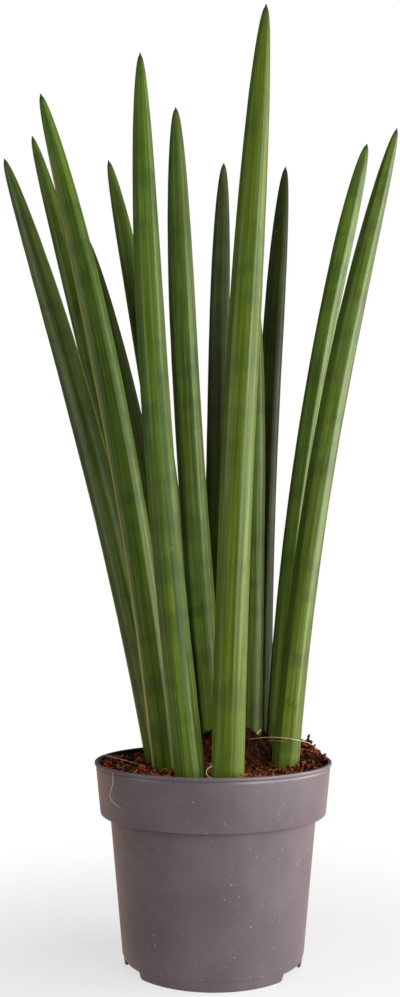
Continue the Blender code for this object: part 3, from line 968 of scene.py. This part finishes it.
        # Fibres under the leaves are painted darker: painted shade
        tones = rng.beta(2.0, 2.0, self.fibres) * (1 - 0.7 * self.shade_among_leaves(start[:, 0], start[:, 1]))
        strands = Strands("coir_fibres", paths, radii, tones)
        finish = CoirAndPeat(dark="361608", middle="7c3f24", light="c08458", roughness=0.7)
        strands.build(finish.build("coir_fibre"))

    def heap_up(self) -> None:
        """Piles crumbs where the soil rises against the rim, and lays the long loose fibres."""
        rng = np.random.default_rng(self.seed + 1)
        middles, sizes, tones = [], [], []
        for heap in self.heaps:
            share = rng.uniform(0.0, 1.0, (heap.count, 1))
            place = np.array(heap.start) * (1 - share) + np.array(heap.end) * share
            place += rng.normal(0.0, 0.5, (heap.count, 3)) * heap.stray
            place[:, 2] -= rng.uniform(0.0, 1.0, heap.count) * heap.sink
            middles.append(place * MM)
            sizes.append(heap.size * MM * rng.uniform(0.55, 1.6, (heap.count, 3)))
            tones.append(heap.tone * rng.uniform(0.5, 1.3, heap.count))
        middles = np.concatenate(middles)
        reach = np.hypot(middles[:, 0], middles[:, 1])
        middles[:, :2] *= np.minimum(1.0, (self.edge_radius - 0.4 * MM) / reach)[:, None]
        self.lumps("heaped_crumbs", middles, np.concatenate(sizes), np.concatenate(tones), rng)

        share = np.linspace(0.0, 1.0, 26)
        paths = []
        for fibre in self.loose:
            knots = np.array(fibre.places) * MM
            along = np.concatenate([[0.0], np.cumsum(np.linalg.norm(np.diff(knots, axis=0), axis=1))])
            columns = [np.interp(share, along / along[-1], knots[:, axis]) for axis in range(3)]
            line = np.stack(columns, axis=-1)
            for _ in range(6):
                line[1:-1] = (line[:-2] + 2 * line[1:-1] + line[2:]) / 4
            paths.append(line)
        radii = np.array([fibre.radius for fibre in self.loose]) * MM
        tones = np.array([fibre.tone for fibre in self.loose])
        strands = Strands("loose_fibres", np.array(paths), radii, tones, sides=6)
        finish = CoirAndPeat(dark="5c3820", middle="a5804f", light="ddc9a0", roughness=0.6)
        strands.build(finish.build("dry_fibre"))


@dataclass
class Strands:
    """Thin fibres of round section along given paths, all with the same number of points."""

    name: str
    paths: np.ndarray
    radii: np.ndarray
    tones: np.ndarray
    sides: int = 4
    slot: str = "soil"

    def build(self, finish: bpy.types.Material) -> bpy.types.Object:
        """Carries a small polygon along each path, drawn in at both ends to a point.

        Args:
            finish: Material of every fibre.

        Returns:
            One piece with every fibre in it.
        """
        count, stations = self.paths.shape[:2]
        along = unit(np.gradient(self.paths, axis=1))
        side = unit(np.cross(along, np.array([0.31, 0.47, 0.83])))
        other = np.cross(along, side)
        turn = np.linspace(0.0, 2 * math.pi, self.sides, endpoint=False)
        taper = np.sqrt(np.clip(1.08 - np.linspace(-1.0, 1.0, stations) ** 4, 0.0, 1.0))
        radius = self.radii[:, None, None, None] * taper[None, :, None, None]
        ring = np.cos(turn)[:, None] * side[:, :, None] + np.sin(turn)[:, None] * other[:, :, None]
        points = self.paths[:, :, None] + radius * ring
        corners = stations * self.sides
        start = (np.arange(count) * corners)[:, None, None]
        quads = (start + grid_quads(stations, self.sides, closed=True)[None]).reshape(-1, 4)
        low = np.arange(self.sides)[None, ::-1] + start[:, 0]
        high = np.arange(self.sides)[None] + start[:, 0] + corners - self.sides
        piece = add_piece(self.name, points, [quads, low, high], finish)
        set_attribute(piece, "tone", np.repeat(self.tones, corners))
        dress(piece, self.slot)
        return piece


@dataclass
class SnakeLeaf:
    """One leaf, in millimetres and degrees.

    It has a foot, a tip, a sideways bow, a thickness, a length of its point, and the compass directions
    that its channel and its main ridge face at the foot. It may twist towards its tip, and a furrow may
    run beside its main ridge. ``margins`` holds how plainly the channel's two margins show.
    """

    name: str
    foot: tuple[float, float]
    tip: tuple[float, float, float]
    bow: float
    thick: float
    point: float
    channel: float
    ridge: float
    tone: LeafTones = LeafTones.MID
    twist: float = 0.0
    furrow: float = 0.0
    margins: tuple[float, float] = (0.3, 0.3)
    number: int = 0
    root_depth: float = 28.0 * MM
    root_taper: float = 0.20
    leaf_taper: float = 0.10
    facets: int = 6
    ridge_swell: float = 0.028
    flatness: tuple[float, float] = (0.15, 0.45)
    channel_swell: float = 0.12
    channel_width: float = math.radians(30)
    margin_angle: float = math.radians(38)
    point_fullness: float = 1.8
    point_power: float = 0.45
    tip_radius: float = 0.7 * MM
    tip_spike: float = 1.6 * MM
    rows: int = 150
    facet_steps: int = 16
    foot_height: float = field(default=0.0, init=False)

    def length(self) -> float:
        """Straight length from the soil to the tip."""
        return float(np.linalg.norm(self.reach()))

    def reach(self) -> np.ndarray:
        """Straight way from the foot to the tip."""
        return np.array(self.tip) * MM - self.root()

    def root(self) -> np.ndarray:
        """The foot, where the axis meets the soil."""
        return np.array([self.foot[0] * MM, self.foot[1] * MM, self.foot_height])

    def direction(self, t: np.ndarray) -> np.ndarray:
        """Way of the axis: the straight way plus the slope of the parabolic bow."""
        along = np.repeat(self.reach()[None], len(t), axis=0)
        along[:, 0] += 4 * self.bow * MM * (1 - 2 * np.maximum(t, 0.0))
        return along

    def axis(self, t: np.ndarray) -> np.ndarray:
        """Axis points: straight from foot to tip plus the bow 4t(1-t) in X, and straight on below the soil."""
        rise = np.maximum(t, 0.0)
        place = self.root() + rise[:, None] * self.reach()
        place[:, 0] += 4 * self.bow * MM * rise * (1 - rise)
        return place + self.direction(np.zeros(1)) * np.minimum(t, 0.0)[:, None]

    def girth(self, t: np.ndarray) -> np.ndarray:
        """Section radius: a slight taper up the leaf, a full rounded draw to the point, and a tapered root."""
        radius = self.thick / 2 * MM
        reach = np.minimum((1 - t) * self.length() / (self.point * MM), 1.0)
        drawn = (1 - (1 - np.clip(reach, 0.0, 1.0)) ** self.point_fullness) ** self.point_power
        above = np.maximum(radius * (1 - self.leaf_taper * t) * drawn, self.tip_radius)
        below = radius * (1 + self.root_taper * t * self.length() / self.root_depth)
        return np.where(t < 0, below, above)

    def section(self, t: np.ndarray) -> tuple[np.ndarray, np.ndarray, np.ndarray]:
        """The section: broad faces between low ridges, a channel and perhaps a furrow.

        Between two ridges the radius dips as a parabola, which flattens the face. The channel sinks as a
        bell curve round angle 0, with a low papery bead along each of its margins.

        Args:
            t: Height share of each row.

        Returns:
            Angles of the columns, radius factors (rows by columns) and ridge nearness of the columns.
        """
        rng = np.random.default_rng(500 + self.number)
        step = 2 * math.pi / self.facets
        place = np.arange(self.facets)
        ridges = place * step + rng.uniform(-0.16, 0.16, self.facets) * (place > 0)
        widths = np.diff(np.append(ridges, 2 * math.pi))
        share = np.tile(np.arange(self.facet_steps) / self.facet_steps, self.facets)
        face = np.repeat(np.arange(self.facets), self.facet_steps)
        angle = ridges[face] + widths[face] * share + math.radians(self.ridge - self.channel)
        ridge = (2 * share - 1) ** 2
        flat = rng.uniform(*self.flatness, self.facets)
        faces = self.ridge_swell - (flat * widths**2 / 8)[face] * (1 - ridge)
        folded = np.remainder(angle + math.pi, 2 * math.pi) - math.pi
        channel = -self.channel_swell * np.exp(-((folded / self.channel_width) ** 2))
        bead = 0.014 * np.exp(-(((np.abs(folded) - self.margin_angle) / math.radians(4.0)) ** 2))
        groove = -self.furrow * MM / (self.thick / 2 * MM) * self.furrow_nearness(angle)
        root = -self.root_depth / self.length()
        relief = smooth_step((t - root) / -root + 0.3) * smooth_step((1 - t) / 0.12 + 0.1)
        along, around = t[:, None] * self.length(), angle[None] * 8 * MM
        swell = 0.009 * value_noise(along, around, 16 * MM, 70 + self.number)
        factor = 1 + relief[:, None] * (faces + channel + bead + groove)[None] + swell * relief[:, None]
        return angle, factor, ridge

    def furrow_nearness(self, angle: np.ndarray) -> np.ndarray:
        """1 in the furrow just past the main ridge, falling to 0 a few degrees off."""
        middle = math.radians(self.ridge - self.channel + 9)
        off = np.remainder(angle - middle + math.pi, 2 * math.pi) - math.pi
        return np.exp(-((off / math.radians(3.6)) ** 2))

    def build(self, soil: SoilBed) -> bpy.types.Object:
        """Makes the leaf: the section carried along the axis, closed below and drawn to a spine above.

        Args:
            soil: The bed that the leaf stands in.

        Returns:
            The leaf.
        """
        x, y = np.array([self.foot[0] * MM]), np.array([self.foot[1] * MM])
        self.foot_height = float(soil.height(x, y)[0])
        columns = self.facets * self.facet_steps
        root = -self.root_depth / self.length()
        share = np.linspace(0.0, 1.0, self.rows)
        t = np.concatenate([[root, root * 0.5], 1 - (1 - share) ** 1.35])
        angle, factor, ridge = self.section(t)
        along = unit(self.direction(t))
        compass = math.radians(self.channel)
        facing = np.array([math.cos(compass), math.sin(compass), 0.0])
        first = unit(facing - along * (along @ facing)[:, None])
        second = np.cross(along, first)
        radius = self.girth(t)[:, None] * factor
        turned = angle[None] + math.radians(self.twist) * np.maximum(t, 0.0)[:, None]
        ring = np.cos(turned)[..., None] * first[:, None] + np.sin(turned)[..., None] * second[:, None]
        points = self.axis(t)[:, None] + radius[..., None] * ring

        # The spine goes on from the last ring in three shorter rings to a point
        onward = along[-1] * self.tip_spike
        steps = np.array([0.35, 0.7, 0.9])
        spine = self.axis(t)[-1] + steps[:, None, None] * onward + (
            (1 - steps**1.5)[:, None, None] * radius[-1][None, :, None] * ring[-1][None]
        )
        points = np.concatenate([points, spine])
        rows = len(points)
        ends = np.array([self.axis(t)[0], self.axis(t)[-1] + onward])
        low, high = np.arange(columns), np.arange(columns) + (rows - 1) * columns
        count = rows * columns
        faces = [
            grid_quads(rows, columns, closed=True), fan(low, count, False), fan(high, count + 1, True)
        ]
        tone = self.tone
        skin = WaxyCuticle(tone.value).build(f"waxy_cuticle_{self.name}")
        leaf = add_piece(self.name + "_skin", np.concatenate([points.reshape(-1, 3), ends]), faces, skin)
        self.mark(leaf, t, angle, ridge)
        dress(leaf, "leaf", self.name)
        return leaf

    def mark(self, leaf: bpy.types.Object, t: np.ndarray, angle: np.ndarray, ridge: np.ndarray) -> None:
        """Writes where each point lies on the leaf, for the skin's markings.

        ``grain`` is the place on the leaf as if it stood straight, ``growth`` holds the height above the
        soil, the way left to the tip and the nearness to a ridge, where the skin has a painted highlight,
        and ``edges`` the channel's margins and how deep the place lies in the channel or the furrow, where
        the skin has painted shade.
        """
        length, radius = self.length(), self.thick / 2 * MM
        spine = self.tip_spike * np.array([0.35, 0.7, 0.9])
        height = np.concatenate([t * length, length + spine])
        shape = (len(height), len(angle))
        round_x = np.broadcast_to(radius * np.cos(angle) + self.number * 0.37, shape)
        round_y = np.broadcast_to(radius * np.sin(angle) - self.number * 0.21, shape)
        tall = np.broadcast_to(height[:, None], shape)
        grain = np.stack([round_x, round_y, tall + self.number * 0.53], axis=-1).reshape(-1, 3)
        left = np.broadcast_to((length + self.tip_spike - height)[:, None], shape)
        growth = np.stack([tall, left, np.broadcast_to(ridge, shape)], axis=-1).reshape(-1, 3)
        folded = np.remainder(angle + math.pi, 2 * math.pi) - math.pi
        fade = smooth_step((1 - height / length) / 0.12)[:, None]
        plain = np.where(folded < 0, *self.margins)
        away = np.abs(folded) - self.margin_angle
        bead = plain * np.exp(-((away / math.radians(3.2)) ** 2)) * fade
        pale = 0.6 * plain * np.exp(-(((away + math.radians(7)) / math.radians(4)) ** 2)) * fade
        # How deep a place lies in the channel or the furrow, which the skin paints darker as painted shade
        groove = 0.5 * np.exp(-((folded / self.channel_width) ** 2))
        groove = groove + np.sign(self.furrow) * self.furrow_nearness(angle)
        edges = np.stack([bead, pale, np.broadcast_to(groove, bead.shape)], axis=-1).reshape(-1, 3)
        for name, values in (("grain", grain), ("growth", growth), ("edges", edges)):
            set_attribute(leaf, name, np.concatenate([values, values[:1], values[-1:]]))


@dataclass
class Clump:
    """The thirteen leaves, from left to right by tip, the two hidden ones where they stand."""

    soil: SoilBed
    leaves: tuple[SnakeLeaf, ...] = (
        SnakeLeaf(
            "leaf_01", (-38.9, 29), (-162.2, 60, 605), 9.1, 23.2, 245, -38, -95, LeafTones.GREY,
            margins=(0.0, 0.8),
        ),
        SnakeLeaf("leaf_02", (-36, 56), (-145.5, 90, 637), 9.7, 19.7, 198, 60, -70, LeafTones.MID),
        SnakeLeaf(
            "leaf_03", (-33.7, -2), (-125.1, 5, 627), 9.7, 22.9, 222, 182, -66, LeafTones.MID,
            margins=(0.0, 1.0), flatness=(0.3, 0.5),
        ),
        SnakeLeaf("leaf_04", (-19.4, 19.6), (-98.5, 65, 546), 8.1, 18.4, 200, 60, -65, LeafTones.DARK),
        SnakeLeaf("leaf_05", (-16.8, 45), (-84.5, 100, 622), 9.3, 19.4, 184, 80, -62, LeafTones.BRIGHT),
        SnakeLeaf(
            "leaf_06", (-15.3, -50), (-49, -60, 620), -6, 20.1, 200, 95, -54, LeafTones.MID,
            flatness=(0.35, 0.6),
        ),
        SnakeLeaf(
            "leaf_07", (-0.7, 30), (-27.9, 40, 635), -4.4, 21.5, 166, 80, -63, LeafTones.GREY,
            flatness=(0.35, 0.6),
        ),
        SnakeLeaf(
            "leaf_08", (2, 66), (10.7, 125, 631), -1.7, 18.3, 133, 36, -80, LeafTones.OLIVE_IN_SHADE,
            margins=(0.8, 0.0),
        ),
        SnakeLeaf(
            "leaf_09", (9, -55), (33, -80, 640), -3.9, 22, 216, 80, -84, LeafTones.FRESH, twist=26,
            furrow=0.45, flatness=(0.3, 0.6),
        ),
        SnakeLeaf(
            "leaf_10", (37.1, 52), (61.7, 110, 621), -4.7, 18.3, 151, 32, -75, LeafTones.DARK,
            margins=(0.4, 0.0),
        ),
        SnakeLeaf("leaf_11", (28.5, 30), (35, 60, 496), 0, 18, 160, 70, -75, LeafTones.GREY),
        SnakeLeaf(
            "leaf_12", (48, 30), (124.3, 80, 626), -12.2, 16.5, 87, 120, -76, LeafTones.MID,
            flatness=(0.6, 0.85),
        ),
        SnakeLeaf(
            "leaf_13", (52.1, 0), (136.5, 20, 609), -11.7, 19.5, 186, 120, -66, LeafTones.BRIGHT,
            flatness=(0.6, 0.85),
        ),
    )

    def build(self) -> None:
        """Builds each leaf in turn."""
        for number, leaf in enumerate(self.leaves, 1):
            leaf.number = number
            leaf.build(self.soil)


@dataclass(frozen=True)
class Softbox:
    """A square light panel: compass direction, height, distance, width, height of the panel and power."""

    name: str
    azimuth: float
    elevation: float
    distance: float
    width: float
    tall: float
    power: float
    colour: str = "ffffff"


@dataclass
class Studio:
    """A pale sweep, soft panels and the camera at the photograph's angle."""

    target: tuple[float, float, float] = (0.0, 0.0, 0.30)
    camera_place: tuple[float, float, float] = (-9.4 * MM, -720.0 * MM, 249.0 * MM)
    lens_mm: float = 36.0
    sensor_mm: float = 36.0
    shift_up: float = 0.117
    sweep_radius: float = 8.0
    paper: str = "8a8988"
    glow_near: float = 0.66
    glow_on_plant: float = 0.14
    glow_in_shine: float = 0.75
    room_light: float = 0.06
    panels: tuple[Softbox, ...] = (
        Softbox(
            "key", azimuth=90, elevation=7, distance=1.5, width=1.4, tall=1.5, power=48, colour="fffaf4"
        ),
        Softbox("front_right", azimuth=42, elevation=0, distance=1.6, width=0.9, tall=1.1, power=32),
        Softbox("fill_left", azimuth=-66, elevation=12, distance=1.7, width=0.8, tall=1.6, power=13),
        Softbox("overhead", azimuth=20, elevation=80, distance=1.6, width=1.2, tall=1.2, power=5),
    )

    def build_camera(self) -> None:
        """A level camera in front of the pot. The shift only frames the leaves as the photograph does."""
        data = bpy.data.cameras.new("photo_camera")
        data.lens = self.lens_mm
        data.sensor_width = self.sensor_mm
        data.shift_y = self.shift_up
        data.clip_start = 0.01
        data.clip_end = 100.0
        camera = bpy.data.objects.new("photo_camera", data)
        camera.location = self.camera_place
        camera.rotation_euler = (math.pi / 2, 0.0, 0.0)
        bpy.context.scene.collection.objects.link(camera)
        bpy.context.scene.camera = camera

    def build_panels(self) -> None:
        """Panels that face the plant. Azimuth 0 is the camera's side and 90 the plant's right."""
        target = np.array(self.target)
        for panel in self.panels:
            turn, lift = math.radians(panel.azimuth), math.radians(panel.elevation)
            away = np.array(
                [
                    math.sin(turn) * math.cos(lift),
                    -math.cos(turn) * math.cos(lift),
                    math.sin(lift),
                ]
            )
            data = bpy.data.lights.new(panel.name, "AREA")
            data.shape = "RECTANGLE"
            data.size, data.size_y = panel.width, panel.tall
            data.energy = panel.power
            data.color = linear(panel.colour)[:3]
            light = bpy.data.objects.new(panel.name, data)
            light.location = target + away * panel.distance
            light.rotation_euler = (math.pi / 2 - lift, 0.0, turn)
            light.visible_camera = False
            bpy.context.scene.collection.objects.link(light)

    def build_room(self) -> None:
        """White all round as the camera sees it, and a dimmer even light on the plant."""
        world = bpy.data.worlds.new("white_room")
        bpy.context.scene.world = world
        world.use_nodes = True
        tree = world.node_tree
        tree.nodes.clear()
        seen = tree.nodes.new("ShaderNodeLightPath")
        strength = tree.nodes.new("ShaderNodeMapRange")
        strength.inputs["To Min"].default_value = self.room_light
        strength.inputs["To Max"].default_value = 1.0
        background = tree.nodes.new("ShaderNodeBackground")
        background.inputs["Color"].default_value = (1.0, 1.0, 1.0, 1.0)
        output = tree.nodes.new("ShaderNodeOutputWorld")
        tree.links.new(seen.outputs["Is Camera Ray"], strength.inputs["Value"])
        tree.links.new(strength.outputs["Result"], background.inputs["Strength"])
        tree.links.new(background.outputs["Background"], output.inputs["Surface"])

    def build_sweep(self) -> None:
        """A pale paper floor, lit from below, that reaches the white of the room away from the pot."""
        ring = np.array([0.0, 0.15, 0.3, 0.5, 0.8, 1.3, 2.5, 5.0, self.sweep_radius])[1:, None]
        turn = np.linspace(0.0, 2 * math.pi, 96, endpoint=False)
        points = np.stack([ring * np.cos(turn), ring * np.sin(turn), 0 * ring * turn], axis=-1)
        points = np.concatenate([points.reshape(-1, 3), [[0.0, 0.0, 0.0]]])
        inner = np.arange(len(turn))
        faces = [
            grid_quads(len(ring), len(turn), closed=True)[:, ::-1], fan(inner, len(points) - 1, True)
        ]
        paper = Recipe("pale_paper")
        place = paper.add("TexCoord", "Object", {})
        away = paper.add("VectorMath", "Value", {"Vector": place}, operation="LENGTH")
        lit = paper.mask(away, 0.10, 0.42)
        seen = paper.add("LightPath", "Is Camera Ray", {})
        shine = paper.add("LightPath", "Is Glossy Ray", {})
        reflected = {"Value": shine, "Value_001": self.glow_in_shine, "Value_002": seen}
        bright = paper.add("Math", "Value", reflected, operation="MULTIPLY_ADD")
        glow = paper.add("MapRange", "Result", {"Value": lit, "To Min": self.glow_near, "To Max": 1.0})
        dim = paper.add(
            "MapRange", "Result", {"Value": bright, "To Min": self.glow_on_plant, "To Max": 1.0}
        )
        paper.feed(
            paper.shader,
            {
                "Base Color": paper.blend(lit, self.paper, "000000"),
                "Roughness": 0.9,
                "Specular IOR Level": 0.0,
                "Emission Color": paper.blend(seen, "ffdcc0", "ffffff"),
                "Emission Strength": paper.add("Math", "Value", {"Value": glow, "Value_001": dim},
                                               operation="MULTIPLY"),
            },
        )
        floor = add_piece("paper_sweep", points, faces, paper.material)

    def build(self) -> None:
        """Sets up the camera, the light and the floor."""
        bpy.context.scene.view_settings.view_transform = "Standard"
        bpy.context.scene.cycles.use_denoising = True
        self.build_camera()
        self.build_panels()
        self.build_room()
        self.build_sweep()


def main() -> None:
    """Builds the plant, its pot and the studio."""
    logging.basicConfig(level=logging.INFO, format="%(message)s")
    Studio().build()
    pot = NurseryPot()
    pot.build()
    soil = SoilBed()
    soil.body(pot)
    soil.scatter()
    soil.heap_up()
    Clump(soil).build()


if __name__ == "__main__":
    main()
